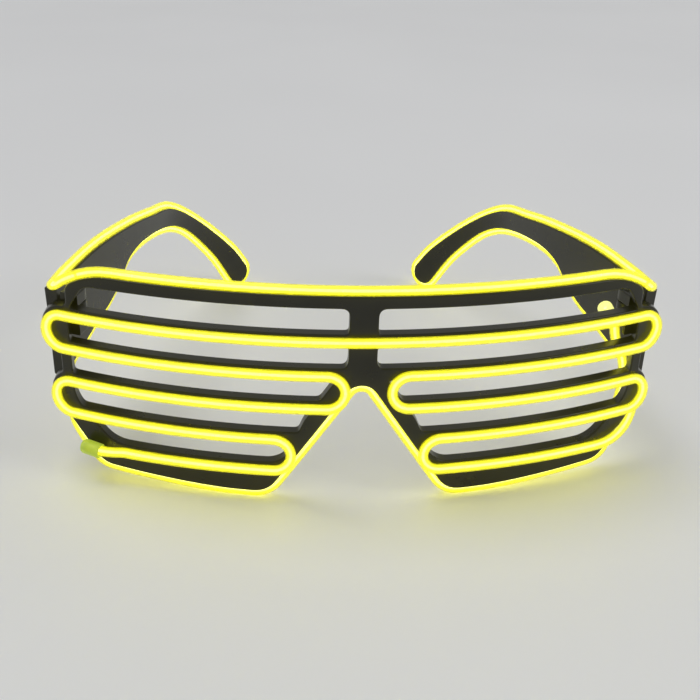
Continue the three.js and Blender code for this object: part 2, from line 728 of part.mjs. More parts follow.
// A round-ended sleeve pushed over the wire's end, closed or with a hole for a lead.
function sleeve(end, before, length, overlap, hole) {
  const bore = WIRE_RADIUS + SLEEVE_CLEARANCE;
  const outside = bore + SLEEVE_WALL;
  const corners = [
    [hole, overlap + SLEEVE_CLEARANCE],
    [bore, overlap + SLEEVE_CLEARANCE],
    [bore, 0],
    [outside, 0],
    [outside, length, SLEEVE_ROUND],
    [hole, length],
  ];
  const line = roundedLine(corners, WIRE_TURN);
  const profile = hole ? [...line, line[0]] : line;
  const geometry = new THREE.LatheGeometry(profile, ROUND_SIDES);
  const ahead = end.clone().sub(before).normalize();
  geometry.applyQuaternion(new THREE.Quaternion().setFromUnitVectors(new THREE.Vector3(0, 1, 0), ahead));
  const mouth = end.clone().addScaledVector(ahead, -overlap);
  geometry.translate(mouth.x, mouth.y, mouth.z);
  return solidOf(geometry);
}

// The glasses

const plastic = new THREE.MeshStandardMaterial({ color: 0x17181a, roughness: 0.35, metalness: 0 });
const glow = new THREE.MeshStandardMaterial({ color: 0xf1ee45, roughness: 0.4, emissive: 0xd9d62c });
const steel = new THREE.MeshStandardMaterial({ color: 0xa8a9aa, roughness: 0.3, metalness: 1 });
const softPlastic = new THREE.MeshStandardMaterial({ color: 0xb4b862, roughness: 0.5, metalness: 0 });

const glasses = new THREE.Group();

function place(name, solid, material) {
  const mesh = new THREE.Mesh(geometryOf(solid), material);
  mesh.name = name;
  glasses.add(mesh);
}

// The brow is the first bar from the top, and the slats are numbered on from it.
place("front_frame", frontFrame(), plastic);
for (const side of ["left", "right"]) {
  for (let row = 1; row <= SLAT_ROWS; row += 1) {
    place(`slat_${SLAT_ROWS + 2 - row}_${side}`, slat(side, row), plastic);
  }
  place(`temple_${side}`, temple(side), plastic);
  place(`hinge_pin_${side}`, side === "right" ? hingePin() : mirrored(hingePin()), steel);
}

const table = new THREE.BoxGeometry(ARM_LENGTH * 3, ARM_LENGTH * 3, OVERRUN);
table.translate(0, 0, -OVERRUN / 2);
const tableSolid = solidOf(table);
for (const stretch of stretches) {
  place(stretch.name, wireSolid(stretch, WIRE_RADIUS).subtract(tableSolid), glow);
}

const [end, beforeEnd] = reversed(stretches.at(-1).points);
const [feed, afterFeed] = stretches[0].points;
const endCap = sleeve(end, beforeEnd, CAP_LENGTH, CAP_OVERLAP, 0);
const feedSleeve = sleeve(feed, afterFeed, FEED_SLEEVE_LENGTH, FEED_SLEEVE_OVERLAP, LEAD_HOLE_RADIUS);
place("end_cap", endCap, softPlastic);
place("feed_sleeve", feedSleeve, softPlastic);

// The origin is on the table, under the middle of the glasses.
const box = new THREE.Box3().setFromObject(glasses);
const middle = box.getCenter(new THREE.Vector3());
glasses.position.set(-middle.x, -middle.y, -box.min.z);

export default glasses;
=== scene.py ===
"""The looks of a pair of light-up party glasses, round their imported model.

Lengths here are millimetres in the model's own frame: x is 0 at the bridge, y is 0 at the front's
face there and z is 0 on the table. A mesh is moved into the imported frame, in metres, once its
shape is finished.
"""

import math

import bmesh
import bpy
import numpy as np
from mathutils import Matrix, Vector
from mathutils.geometry import delaunay_2d_cdt


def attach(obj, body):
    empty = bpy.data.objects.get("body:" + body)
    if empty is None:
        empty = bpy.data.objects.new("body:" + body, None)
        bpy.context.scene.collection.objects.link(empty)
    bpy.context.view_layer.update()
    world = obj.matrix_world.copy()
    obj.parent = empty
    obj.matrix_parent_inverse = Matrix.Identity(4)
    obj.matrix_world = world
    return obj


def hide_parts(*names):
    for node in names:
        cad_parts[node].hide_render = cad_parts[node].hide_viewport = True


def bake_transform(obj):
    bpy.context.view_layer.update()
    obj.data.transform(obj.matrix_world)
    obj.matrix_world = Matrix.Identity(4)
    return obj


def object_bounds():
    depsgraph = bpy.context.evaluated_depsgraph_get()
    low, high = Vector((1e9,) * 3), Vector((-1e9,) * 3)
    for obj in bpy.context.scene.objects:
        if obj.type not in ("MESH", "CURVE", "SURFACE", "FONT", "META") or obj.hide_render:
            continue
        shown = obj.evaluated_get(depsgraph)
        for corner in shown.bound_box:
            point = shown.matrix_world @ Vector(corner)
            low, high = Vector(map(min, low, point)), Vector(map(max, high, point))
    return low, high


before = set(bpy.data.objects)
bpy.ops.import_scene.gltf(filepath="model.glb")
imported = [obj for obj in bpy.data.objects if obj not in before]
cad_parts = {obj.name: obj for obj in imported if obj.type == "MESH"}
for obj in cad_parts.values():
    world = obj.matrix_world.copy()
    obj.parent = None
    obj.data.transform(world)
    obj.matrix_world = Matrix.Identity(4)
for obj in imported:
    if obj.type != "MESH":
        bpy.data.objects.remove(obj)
cad_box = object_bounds()

# Glowing wire
WIRE_RADIUS = 1.25  # of its sheath, with two lit layers inside it
MIDDLE_RADIUS = 0.9
CORE_RADIUS = 0.34
SEAT_DEPTH = 0.4
SEAT_CLEARANCE = 0.12
REST_SHARE = 0.8  # of the wire's radius, from the table to its centre where it is pressed flat
WIRE_SIDES = 20
WIRE_STEP = 1.2

# Front moulding: places are along the wrap from the bridge, and up from the table
WRAP_RADIUS = 168
FRONT_WALL = 3.2
FRONT_TOP = 53.95
BROW_HEIGHT = 3
SLAT_ROWS = 4
SLAT_HEIGHT = 3.2
ROW_PITCH = 8.6
LOWEST_ROW = 8.7
BRIDGE_WIDTH = 6.6
SIDE_EDGE = 73.2
SIDE_RIM = 2.9
LOOP_MARGIN = 0.7
OUTER_LOOP_HIGH = 76
OUTER_LOOP_LOW = 75
INNER_LOOP_HIGH_RIGHT = 7
INNER_LOOP_HIGH_LEFT = 3.8
INNER_LOOP_LOW_RIGHT = 15.2
INNER_LOOP_LOW_LEFT = 16.2
ROW_END_RIGHT = 62
ROW_END_LEFT = 57.5
EDGE_RADIUS = 0.45

# Lower outline, as the centre of the wire that edges it
NOSE_PEAK = 33.4
NOSE_FOOT = 21.5
NOSE_TOP_RADIUS = 3.2
NOSE_FOOT_RADIUS = 7
NOSE_RIM = 4.8
LENS_LOWEST = 32
LENS_BELLY_RADIUS = 160
LENS_CORNER = 64.3
LENS_CORNER_RISE = 2.2
LENS_CORNER_RADIUS = 6
SIDE_SLANT = 53.8  # degrees

# Lens opening
OPENING_TOP_RADIUS = 1.5
OPENING_CUT_ALONG = 4.6
OPENING_CUT_UP = 7.6
OPENING_CUT_RADIUS = 4
OPENING_SLANT_ALONG = 9.8
OPENING_SLANT_UP = 10.7
OPENING_SLANT_RADIUS = 8
OPENING_FOOT = 18
OPENING_FOOT_RADIUS = 6
OPENING_KNEE = 22
OPENING_KNEE_RADIUS = 4
OPENING_PEAK_RADIUS = 3

# Outer ends of the brow, which slopes down from its shoulder
BROW_SHOULDER = 64
BROW_SHOULDER_RADIUS = 21.3
BROW_CORNER = 70.4
BROW_CORNER_UP = 50.25
BROW_CORNER_RADIUS = 2.5
NECK_UP = 45.6
NECK_RADIUS = 1.5
BROW_WIRE_END = 68

# Temples: places are along the temple from its front end, and up from the table
ARM_END_X = 73.2
ARM_END_Y = 20
ARM_TOE_IN = 13.2  # degrees
ARM_STRAIGHT = 78
ARM_CURL_RADIUS = 80
ARM_LENGTH = 130
ARM_HEIGHT = 49.5
ARM_THICKNESS = 3.2
ARM_TIP_RADIUS = 4.8
ARM_TIP_SHARE = 0.941
ARM_TIP_SLOPE = 50  # degrees below level
ARM_SEAT_START = 7.5
ARM_STATIONS = 100
UPPER_STRAND_SHARES = [  # of the temple's length and height
    (0, 0.968), (0.166, 0.986), (0.261, 0.978), (0.418, 0.934),
    (0.53, 0.885), (0.657, 0.818), (0.783, 0.638), (0.926, 0.323),
]
LOWER_STRAND_SHARES = [
    (0, 0.452), (0.095, 0.513), (0.174, 0.56), (0.25, 0.598), (0.308, 0.655),
    (0.356, 0.725), (0.418, 0.754), (0.514, 0.741), (0.608, 0.699), (0.676, 0.646),
    (0.735, 0.564), (0.799, 0.424), (0.854, 0.273),
]

# Hinges
HINGE_X = 67.2
HINGE_Y = 22
HINGE_FOOT = 36.5
KNUCKLE_RADIUS = 2.3
KNUCKLE_GAP = 0.3
KNUCKLE_EDGE = 0.3
LUG_HEIGHT = 3
LUG_LEAN = 14.5  # degrees outwards, from the hinge to the rim
ARM_KNUCKLE_HEIGHT = 3.9
ARM_END_GAP = 0.4
PIN_RADIUS = 0.9
PIN_CLEARANCE = 0.1
PIN_HEAD_RADIUS = 1.7
PIN_HEAD_HEIGHT = 0.8
PIN_EDGE = 0.15

# Sleeves over the two ends of the wire
SLEEVE_WALL = 0.45
SLEEVE_LIP = SLEEVE_WALL / 3
SLEEVE_CLEARANCE = 0.12
SLEEVE_ROUND = 1.1
CAP_LENGTH = 5.2
CAP_OVERLAP = 3.7
FEED_SLEEVE_LENGTH = 4.8
FEED_SLEEVE_OVERLAP = 3.6
LEAD_HOLE_RADIUS = 0.5

# The wire's free stretches, point by point: along the wrap, up, and out from the front's face
FEED_ROUTE = [
    (63.7, 44, -5.25), (65.8, 41.2, -5.2), (67.4, 38.6, -5), (68.2, 35.4, -4.8),
    (70.5, 31.4, -4.8), (72.2, 27.6, -4.8), (73.1, 23, -4.8), (72.8, 18.6, -4.7),
    (71.7, 14.6, -4.2), (69.8, 11, -3), (67.7, 7.9, -1.9),
]
RISER_LEFT_ROUTE = [(69.8, 10.2, -1.3), (72, 12.6, -2), (74, 14.8, -3.4)]
LOW_CROSSING_LEFT_ROUTE = [(75.3, 17, -4.9), (76.4, 19.4, -5.6), (77.7, 22, -7.4)]
TOP_CROSSING_ROUTE = [
    (71.9, 50.95, -1.6), (74.3, 49.35, -1.9), (76.2, 48.45, -3.2), (77.3, 48.05, -5.2),
]
LOW_CROSSING_RIGHT_ROUTE = [(77.7, 22.2, -7.4), (77.2, 19.9, -5.4)]
RISER_RIGHT_ROUTE = [
    (76.4, 17.3, -3.3), (74.3, 14.8, -1.2), (71.3, 12.2, 0.3), (68, 10, 0.85), (65, 8.9, 0.85),
]
END_ROUTE = [(60.6, 8.6, 1.5), (63.4, 8.8, 2.1), (66.7, 9.2, 2.1)]

# Fineness
TURN_STEP = 7.5  # degrees of a rounded corner for each side
RUN_STEP = 2.4
LOOP_STEP = 0.42
LOOP_SOFTENING = 4
FEWEST_LOOP_STEPS = 12
EDGE_SIDES = 4
ROUND_SIDES = 48
SHARP_TURN = 38  # degrees
POINT_SHARE = 1 / 8  # how narrow a turned piece starts at its axis
SAME_PLACE = 1e-3  # between points of a line that count as one
FLAT_TOLERANCE = 1e-5
NUDGE = 1e-6  # keeps a direction from coming out as nothing
ALONG_X = 0.9  # a direction's part in x from which it counts as running that way

# Camera
CAMERA_PLACE = (-19.2, -201.1, 141.4)
CAMERA_TARGET = (-1.5, 19.55, 31.3)
CAMERA_ROLL = 1.93  # degrees
CAMERA_LENS = 51.43
CAMERA_NEAREST = 0.01  # metres

# Studio: places and widths in metres
FLOOR_REACH = 40
FLOOR_DROP = 0.00003
SKY_PLACE = (-0.5, 0.3, 1.7)
SKY_POWER = 0.95
SKY_SPREAD = 35  # degrees
SOFTBOX_PLACE = (1.2, -0.6, 0.9)
SOFTBOX_POWER = 3.5
SOFTBOX_WIDTH = 0.6
AIR_COLOUR = (0.8, 0.81, 0.83, 1)
AIR_POWER = 0.5
CLEAR_LAYERS = 24  # that a ray goes through at most
BLOOM = {"Threshold": 0.8, "Strength": 0.12, "Size": 0.25}

# Range of a noise that its low and high value are laid out between
NOISE_LOW = 0.3
NOISE_HIGH = 0.7

# Worked out from the sizes above
OVERRUN = FRONT_WALL * 1.5
SHEET_REACH = OVERRUN * 3
SEAT_OFFSET = WIRE_RADIUS - SEAT_DEPTH
REST_CENTRE = WIRE_RADIUS * REST_SHARE
OPENING_TOP = FRONT_TOP - BROW_HEIGHT
OPENING_BOTTOM = LOWEST_ROW + SLAT_HEIGHT / 2
OPENING_OUTER = SIDE_EDGE - SIDE_RIM
LUG_TOP_FOOT = HINGE_FOOT + LUG_HEIGHT + ARM_KNUCKLE_HEIGHT + KNUCKLE_GAP * 2
HINGE_TOP = LUG_TOP_FOOT + LUG_HEIGHT
METRE = 1000
BACK_SHIFT = cad_box[0].y + (SEAT_OFFSET + WIRE_RADIUS) / METRE
TO_FRAME = Matrix.Translation((0, BACK_SHIFT, 0)) @ Matrix.Scale(1 / METRE, 4)


def in_frame(place):
    """A place of the model's own frame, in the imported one."""
    return TO_FRAME @ Vector(place)


def row_up(row):
    """Height of a slat's middle; row 0 is the lowest."""
    return LOWEST_ROW + row * ROW_PITCH


# Lines drawn flat


def turned(point, centre, angle):
    """The point turned round the centre by an angle in radians."""
    x, y = np.subtract(point, centre)
    cos, sin = math.cos(angle), math.sin(angle)
    return np.array((centre[0] + x * cos - y * sin, centre[1] + x * sin + y * cos))


def unit(vector):
    return vector / np.linalg.norm(vector)


def rounded_line(corners):
    """A line with rounded corners, from a list of (along, up, radius)."""
    points = []
    for index, (along, up, *radius) in enumerate(corners):
        corner = np.array((along, up), float)
        if not radius:
            points.append(corner)
            continue
        back = unit(np.array(corners[index - 1][:2]) - corner)
        ahead = unit(np.array(corners[index + 1][:2]) - corner)
        half = math.acos(np.clip(back @ ahead, -1, 1)) / 2
        centre = corner + unit(back + ahead) * radius[0] / math.sin(half)
        turn = math.copysign(math.pi - 2 * half, ahead[0] * back[1] - ahead[1] * back[0])
        sides = max(2, round(abs(turn) / math.radians(TURN_STEP)))
        first = corner + back * radius[0] / math.tan(half)
        points += [turned(first, centre, turn * side / sides) for side in range(sides + 1)]
    kept = [points[0]]
    for point, last in zip(points[1:], points):
        if np.linalg.norm(point - last) > SAME_PLACE:
            kept.append(point)
    return kept


def divided(points):
    """The same line with its long runs divided."""
    line = []
    for start, end in zip(points, points[1:]):
        count = max(1, math.ceil(np.linalg.norm(end - start) / RUN_STEP))
        line += [start + (end - start) * share / count for share in range(count)]
    return [*line, points[-1]]


def through(points, step):
    """A smooth curve through the points, in steps of about this length."""
    points = [np.array(point, float) for point in points]
    around = [2 * points[0] - points[1], *points, 2 * points[-1] - points[-2]]
    curve, starts = [], []
    for p0, p1, p2, p3 in zip(around, around[1:], around[2:], around[3:]):
        steps = ((p0, p1), (p1, p2), (p2, p3))
        d0, d1, d2 = (math.sqrt(np.linalg.norm(end - start)) for start, end in steps)
        leaving = ((p1 - p0) / d0 - (p2 - p0) / (d0 + d1) + (p2 - p1) / d1) * d1
        arriving = ((p2 - p1) / d1 - (p3 - p1) / (d1 + d2) + (p3 - p2) / d2) * d1
        count = max(1, math.ceil(d1 * d1 / step))
        starts.append(len(curve))
        for share in np.arange(count) / count:
            square, cube = share**2, share**3
            curve.append(
                p1 * (2 * cube - 3 * square + 1)
                + leaving * (cube - 2 * square + share)
                + p2 * (3 * square - 2 * cube)
                + arriving * (cube - square)
            )
    starts.append(len(curve))
    return np.array([*curve, points[-1]]), starts


def evenly(points, count):
    """The same line in this many even steps."""
    points = np.array(points)
    reach = np.concatenate([[0], np.cumsum(np.linalg.norm(np.diff(points, axis=0), axis=1))])
    wanted = np.linspace(0, reach[-1], count + 1)
    return np.column_stack([np.interp(wanted, reach, axis) for axis in points.T])


def other_side(points):
    return [np.array((-along, up)) for along, up in points]


def moved_aside(points, distance):
    """The same line moved sideways, to its left where the distance is positive."""
    ahead = np.gradient(np.array(points), axis=0)
    ahead /= np.linalg.norm(ahead, axis=1)[:, None]
    return points + np.column_stack([-ahead[:, 1], ahead[:, 0]]) * distance


# From the flat drawings to the real places


def on_wrap(along, up, out):
    """A place on the front, and how far it lies out from the front's face."""
    angle = along / WRAP_RADIUS
    reach = WRAP_RADIUS + out
    return np.array((reach * math.sin(angle), WRAP_RADIUS - reach * math.cos(angle), up))


def inside_wall(along, up):
    """Straight behind a place on the front's face, halfway through the wall."""
    x = on_wrap(along, up, 0)[0]
    reach = WRAP_RADIUS - FRONT_WALL / 2
    return np.array((x, WRAP_RADIUS - math.sqrt(reach**2 - x**2), up))


def on_arm(along, up, out):
    """A place on the right temple, and how far outwards it lies from the temple's middle."""
    toe_in = math.radians(ARM_TOE_IN)
    heading = toe_in + max(0, along - ARM_STRAIGHT) / ARM_CURL_RADIUS
    straight = min(along, ARM_STRAIGHT)
    centre_x = ARM_END_X - math.sin(toe_in) * straight - math.cos(toe_in) * ARM_CURL_RADIUS
    centre_y = ARM_END_Y + math.cos(toe_in) * straight - math.sin(toe_in) * ARM_CURL_RADIUS
    reach = ARM_CURL_RADIUS + out
    x = centre_x + reach * math.cos(heading)
    y = centre_y + reach * math.sin(heading)
    return np.array((x, y, up))


def to_left(points):
    return [np.array((-x, y, z)) for x, y, z in points]


# The wire's route


def on_face(points):
    """Along the front's face, as deep in it as the wire's seat."""
    return [on_wrap(along, up, SEAT_OFFSET) for along, up in divided(points)]


def freely(route):
    """The real places of one of the free stretches."""
    return [on_wrap(*place) for place in route]


def rows_line():
    """To and fro over the slats, up on the right, across the bridge and down on the left."""
    half = ROW_PITCH / 2
    right_turns = [INNER_LOOP_LOW_RIGHT, OUTER_LOOP_LOW, INNER_LOOP_HIGH_RIGHT, OUTER_LOOP_HIGH]
    left_turns = [INNER_LOOP_LOW_LEFT, OUTER_LOOP_LOW, INNER_LOOP_HIGH_LEFT, OUTER_LOOP_HIGH]
    corners = [(ROW_END_RIGHT, row_up(0))]
    for row, along in enumerate(right_turns):
        corners += [(along, row_up(row), half), (along, row_up(row + 1), half)]
    for row, along in reversed(list(enumerate(left_turns))):
        corners += [(-along, row_up(row + 1), half), (-along, row_up(row), half)]
    return rounded_line([*corners, (-ROW_END_LEFT, row_up(0))])


def brow_edge():
    """The edge of the front's right half, from the middle of the top to the uppermost slat."""
    corners = [
        (0, FRONT_TOP),
        (BROW_SHOULDER, FRONT_TOP, BROW_SHOULDER_RADIUS),
        (BROW_CORNER, BROW_CORNER_UP, BROW_CORNER_RADIUS),
        (BROW_CORNER, NECK_UP, NECK_RADIUS),
        (SIDE_EDGE, row_up(SLAT_ROWS)),
    ]
    return rounded_line(corners)


def brow_line():
    """Over the right half of the brow, as far as the wire stays on the moulding."""
    line = divided(moved_aside(brow_edge(), SEAT_OFFSET))
    return [(x, up) for x, up in line if 0 < x < BROW_WIRE_END and up > BROW_CORNER_UP]


def rim_line():
    """The edge under the right lens, from the peak of the nose notch to the side."""
    slant = math.radians(SIDE_SLANT)
    run = SIDE_EDGE + SEAT_OFFSET * math.sin(slant) - LENS_CORNER
    corner_up = REST_CENTRE + LENS_CORNER_RISE
    corners = [
        (-NOSE_FOOT, REST_CENTRE),
        (0, NOSE_PEAK, NOSE_TOP_RADIUS),
        (NOSE_FOOT, REST_CENTRE, NOSE_FOOT_RADIUS),
        (LENS_LOWEST, REST_CENTRE, LENS_BELLY_RADIUS),
        (LENS_CORNER, corner_up, LENS_CORNER_RADIUS),
        (LENS_CORNER + run, corner_up + run * math.tan(slant)),
    ]
    return [point for point in divided(rounded_line(corners)) if point[0] > 0]


TIP_CENTRE = np.array((ARM_TIP_SHARE * ARM_LENGTH, REST_CENTRE + ARM_TIP_RADIUS))


def round_tip(radius, turn):
    """A place on a round about the temple's tip, turned from its end towards the upper strand."""
    start = TIP_CENTRE + np.array((radius, 0))
    return turned(start, TIP_CENTRE, turn - math.radians(ARM_TIP_SLOPE))


def strand_line(shares, side):
    """A strand along the temple to its tip: side is 1 for the upper one and -1 for the lower."""
    places = [np.array((along * ARM_LENGTH, up * ARM_HEIGHT)) for along, up in shares]
    curve, _ = through([*places, round_tip(ARM_TIP_RADIUS, side * math.pi / 2)], WIRE_STEP)
    return evenly(curve, ARM_STATIONS)


UPPER_LINE = strand_line(UPPER_STRAND_SHARES, 1)
LOWER_LINE = strand_line(LOWER_STRAND_SHARES, -1)


def arm_wire():
    """Out along the right temple's upper edge, round its tip and back along the lower edge."""
    sides = round(180 / TURN_STEP)
    angles = [math.pi * (0.5 - side / sides) for side in range(1, sides)]
    turn = [round_tip(ARM_TIP_RADIUS, angle) for angle in angles]
    whole = [*UPPER_LINE, *turn, *LOWER_LINE[::-1]]
    return [on_arm(along, up, 0) for along, up in whole if along > ARM_SEAT_START]


def wire_runs():
    """The one wire from its feed end to its capped end, as (name, places) of each run."""
    rim = rim_line()
    last = row_up(0) - 2 * WIRE_RADIUS
    edge = [inside_wall(*point) for point in rim if point[1] <= last or point[0] < NOSE_FOOT]
    brow = brow_line()
    arm = arm_wire()
    top = freely(TOP_CROSSING_ROUTE)
    riser_left = to_left(freely(RISER_LEFT_ROUTE))
    last_bend = to_left(freely(END_ROUTE))
    return [
        ("under_lenses", [*freely(FEED_ROUTE), *edge[::-1], *to_left(edge), *riser_left]),
        ("bend_low_left", to_left(freely(LOW_CROSSING_LEFT_ROUTE))),
        ("round_temple_left", to_left(arm[::-1])),
        ("bend_top_left", to_left(top[::-1])),
        ("over_brow", [inside_wall(*point) for point in [*other_side(brow[::-1]), *brow]]),
        ("bend_top_right", top),
        ("round_temple_right", arm),
        ("bend_low_right", freely(LOW_CROSSING_RIGHT_ROUTE)),
        ("over_slats", [*freely(RISER_RIGHT_ROUTE), *on_face(rows_line()), *last_bend]),
    ]


def square_frames(centres):
    """Two directions square to the line at each of its points, carried along it without twist."""
    ahead = np.gradient(centres, axis=0)
    ahead /= np.linalg.norm(ahead, axis=1)[:, None]
    side = unit(np.cross(ahead[0], (0, 0, 1)) + np.array((NUDGE, 0, 0)))
    sides = []
    for heading in ahead:
        side = unit(side - heading * (side @ heading))
        sides.append(side)
    sides = np.array(sides)
    return sides, np.cross(ahead, sides)


RUNS = wire_runs()
ROUTE, ROUTE_STARTS = through([place for _, places in RUNS for place in places], WIRE_STEP)
ROUTE_FRAMES = square_frames(ROUTE)


def run_range(name):
    """Where a run starts and ends in the whole route."""
    names = [run for run, places in RUNS for _ in places]
    first = names.index(name)
    after = min(first + names.count(name), len(ROUTE_STARTS) - 1)
    return ROUTE_STARTS[first], ROUTE_STARTS[after]


# Meshes


def mesh_object(name, places, faces):
    """A closed mesh in millimetres, with its faces turned outwards."""
    mesh = bpy.data.meshes.new(name)
    mesh.from_pydata([tuple(place) for place in places], [], faces)
    made = bmesh.new()
    made.from_mesh(mesh)
    bmesh.ops.recalc_face_normals(made, faces=made.faces)
    made.to_mesh(mesh)
    made.free()
    piece = bpy.data.objects.new(name, mesh)
    bpy.context.scene.collection.objects.link(piece)
    return piece


def tube(name, first, last, radius):
    """A round tube along a stretch of the whole route."""
    centres = ROUTE[first : last + 1]
    across, upright = (directions[first : last + 1] for directions in ROUTE_FRAMES)
    angles = 2 * math.pi * np.arange(WIRE_SIDES) / WIRE_SIDES
    rings = (
        centres[:, None]
        + radius * np.cos(angles)[None, :, None] * across[:, None]
        + radius * np.sin(angles)[None, :, None] * upright[:, None]
    )
    places = rings.reshape(-1, 3)
    faces = ring_faces(len(centres), WIRE_SIDES)
    faces.append(list(range(WIRE_SIDES)))
    faces.append([len(places) - 1 - side for side in range(WIRE_SIDES)])
    return mesh_object(name, places, faces)


def ring_faces(rings, around):
    """Faces between rings of points that follow on from each other."""
    faces = []
    for ring in range(rings - 1):
        start, after = ring * around, (ring + 1) * around
        for point in range(around):
            beside = (point + 1) % around
            faces.append([start + point, start + beside, after + beside, after + point])
    return faces


def signed_area(loop):
    ahead = np.roll(loop, -1, axis=0)
    return np.sum(loop[:, 0] * ahead[:, 1] - ahead[:, 0] * loop[:, 1]) / 2


def triangulated(loops):
    """Triangles over flat loops, each with the loops that it lies in."""
    starts = np.cumsum([0, *map(len, loops)])
    faces = []
    for loop, start in zip(loops, starts):
        order = list(range(start, start + len(loop)))
        faces.append(order if signed_area(loop) > 0 else order[::-1])
    points = [Vector(point) for point in np.vstack(loops)]
    made = delaunay_2d_cdt(points, [], faces, 0, FLAT_TOLERANCE, True)
    places, _, triangles, origins, _, inside = made
    return np.array(places), triangles, origins, inside


def region_loops(loops, kept):
    """Outlines, with the region on their left, of the triangles that kept says yes to."""
    places, triangles, _, inside = triangulated(loops)
    ways = set()
    for triangle, holders in zip(triangles, inside):
        if kept(set(holders)):
            turn = triangle if signed_area(places[list(triangle)]) > 0 else triangle[::-1]
            ways |= {(turn[side], turn[(side + 1) % 3]) for side in range(3)}
    follow = {start: end for start, end in ways if (end, start) not in ways}
    outlines = []
    while follow:
        start, point = follow.popitem()
        outline = [start]
        while point != start:
            outline.append(point)
            point = follow.pop(point)
        outlines.append(softened(places[outline]))
    return outlines


def softened(loop):
    """A closed loop in even steps, its corners slightly rounded."""
    closed = np.vstack([loop, loop[:1]])
    length = np.sum(np.linalg.norm(np.diff(closed, axis=0), axis=1))
    loop = evenly(closed, max(FEWEST_LOOP_STEPS, round(length / LOOP_STEP)))[:-1]
    for _ in range(LOOP_SOFTENING):
        loop = (np.roll(loop, 1, axis=0) + 2 * loop + np.roll(loop, -1, axis=0)) / 4
    return loop


def moved_left(loop, distance):
    """A closed loop moved sideways, to its left where the distance is positive."""
    ahead = np.roll(loop, -1, axis=0) - np.roll(loop, 1, axis=0)
    ahead /= np.linalg.norm(ahead, axis=1)[:, None]
    return loop + np.column_stack([-ahead[:, 1], ahead[:, 0]]) * distance


def plate(name, loops, wall, radius, placed):
    """A plate with these outlines and rounded edges.

    placed turns flat points and a depth into real places.
    """
    edge = [(0, 0)]
    if radius:
        turns = np.arange(EDGE_SIDES + 1) / EDGE_SIDES * math.pi / 2
        edge = [(radius * (1 - math.sin(turn)), radius * (1 - math.cos(turn))) for turn in turns]
    rings = [*edge, *((inset, wall - depth) for inset, depth in edge[::-1])]
    places = []
    for inset, depth in rings:
        places += [placed(moved_left(loop, inset), depth) for loop in loops]
    total = sum(map(len, loops))
    starts = np.cumsum([0, *map(len, loops)])
    faces = []
    for loop, start in zip(loops, starts):
        for ring in range(len(rings) - 1):
            here = start + ring * total
            below = here + total
            for point in range(len(loop)):
                beside = (point + 1) % len(loop)
                faces.append([here + point, below + point, below + beside, here + beside])
    _, triangles, origins, inside = triangulated([moved_left(loop, rings[0][0]) for loop in loops])
    for triangle, holders in zip(triangles, inside):
        if len(holders) % 2:
            corners = [origins[corner][0] for corner in triangle]
            faces.append(corners)
            faces.append([corner + total * (len(rings) - 1) for corner in corners[::-1]])
    return mesh_object(name, np.vstack(places), faces)


def drawn_through(points, depth):
    """Flat points on the front, at a depth behind its face, straight through as its mould opens."""
    x = WRAP_RADIUS * np.sin(points[:, 0] / WRAP_RADIUS)
    y = WRAP_RADIUS - np.sqrt((WRAP_RADIUS - depth) ** 2 - x**2)
    return np.column_stack([x, y, points[:, 1]])


def combined(piece, tool, operation, keep_tool=False):
    """The piece with the tool added or taken away."""
    modifier = piece.modifiers.new(operation, "BOOLEAN")
    modifier.operation = operation
    modifier.solver = "MANIFOLD"
    modifier.object = tool
    seen = piece.evaluated_get(bpy.context.evaluated_depsgraph_get())
    shape = bpy.data.meshes.new_from_object(seen)
    piece.modifiers.clear()
    old, piece.data = piece.data, shape
    bpy.data.meshes.remove(old)
    if not keep_tool:
        bpy.data.objects.remove(tool)
    return piece


def mirrored(piece, name):
    """The same shape on the other side of the bridge."""
    mesh = piece.data.copy()
    mesh.transform(Matrix.Scale(-1, 4, (1, 0, 0)))
    mesh.flip_normals()
    copy = bpy.data.objects.new(name, mesh)
    bpy.context.scene.collection.objects.link(copy)
    return copy


def finished(piece, look, moulded=False):
    """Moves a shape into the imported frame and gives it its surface."""
    mesh = piece.data
    mesh.name = piece.name
    places = np.zeros(len(mesh.vertices) * 3)
    mesh.vertices.foreach_get("co", places)
    places[2::3] = np.maximum(places[2::3], 0)
    mesh.vertices.foreach_set("co", places)
    mesh.transform(TO_FRAME)
    mesh.shade_smooth()
    mesh.set_sharp_from_angle(angle=math.radians(SHARP_TURN))
    mesh.materials.clear()
    mesh.materials.append(look)
    if moulded:
        evened = piece.modifiers.new("even_shading", "WEIGHTED_NORMAL")
        evened.keep_sharp = True
    return piece


# Front moulding


def opening_line():
    """The right lens opening, which the slats cross."""
    slope = NOSE_FOOT / (NOSE_PEAK - REST_CENTRE)
    rim_aside = NOSE_RIM * math.hypot(1, slope)
    inner = BRIDGE_WIDTH / 2
    peak_up = NOSE_PEAK - (inner - rim_aside) / slope
    knee = (NOSE_PEAK - OPENING_KNEE) * slope + rim_aside
    side = (inner, (peak_up + OPENING_TOP) / 2)
    corners = [
        side,
        (inner, peak_up, OPENING_PEAK_RADIUS),
        (knee, OPENING_KNEE, OPENING_KNEE_RADIUS),
        (OPENING_FOOT, OPENING_BOTTOM, OPENING_FOOT_RADIUS),
        (OPENING_OUTER - OPENING_SLANT_ALONG, OPENING_BOTTOM, OPENING_SLANT_RADIUS),
        (OPENING_OUTER, OPENING_BOTTOM + OPENING_SLANT_UP, OPENING_SLANT_RADIUS),
        (OPENING_OUTER, OPENING_TOP - OPENING_CUT_UP, OPENING_CUT_RADIUS),
        (OPENING_OUTER - OPENING_CUT_ALONG, OPENING_TOP, OPENING_CUT_RADIUS),
        (inner, OPENING_TOP, OPENING_TOP_RADIUS),
        side,
    ]
    return rounded_line(corners)[1:]


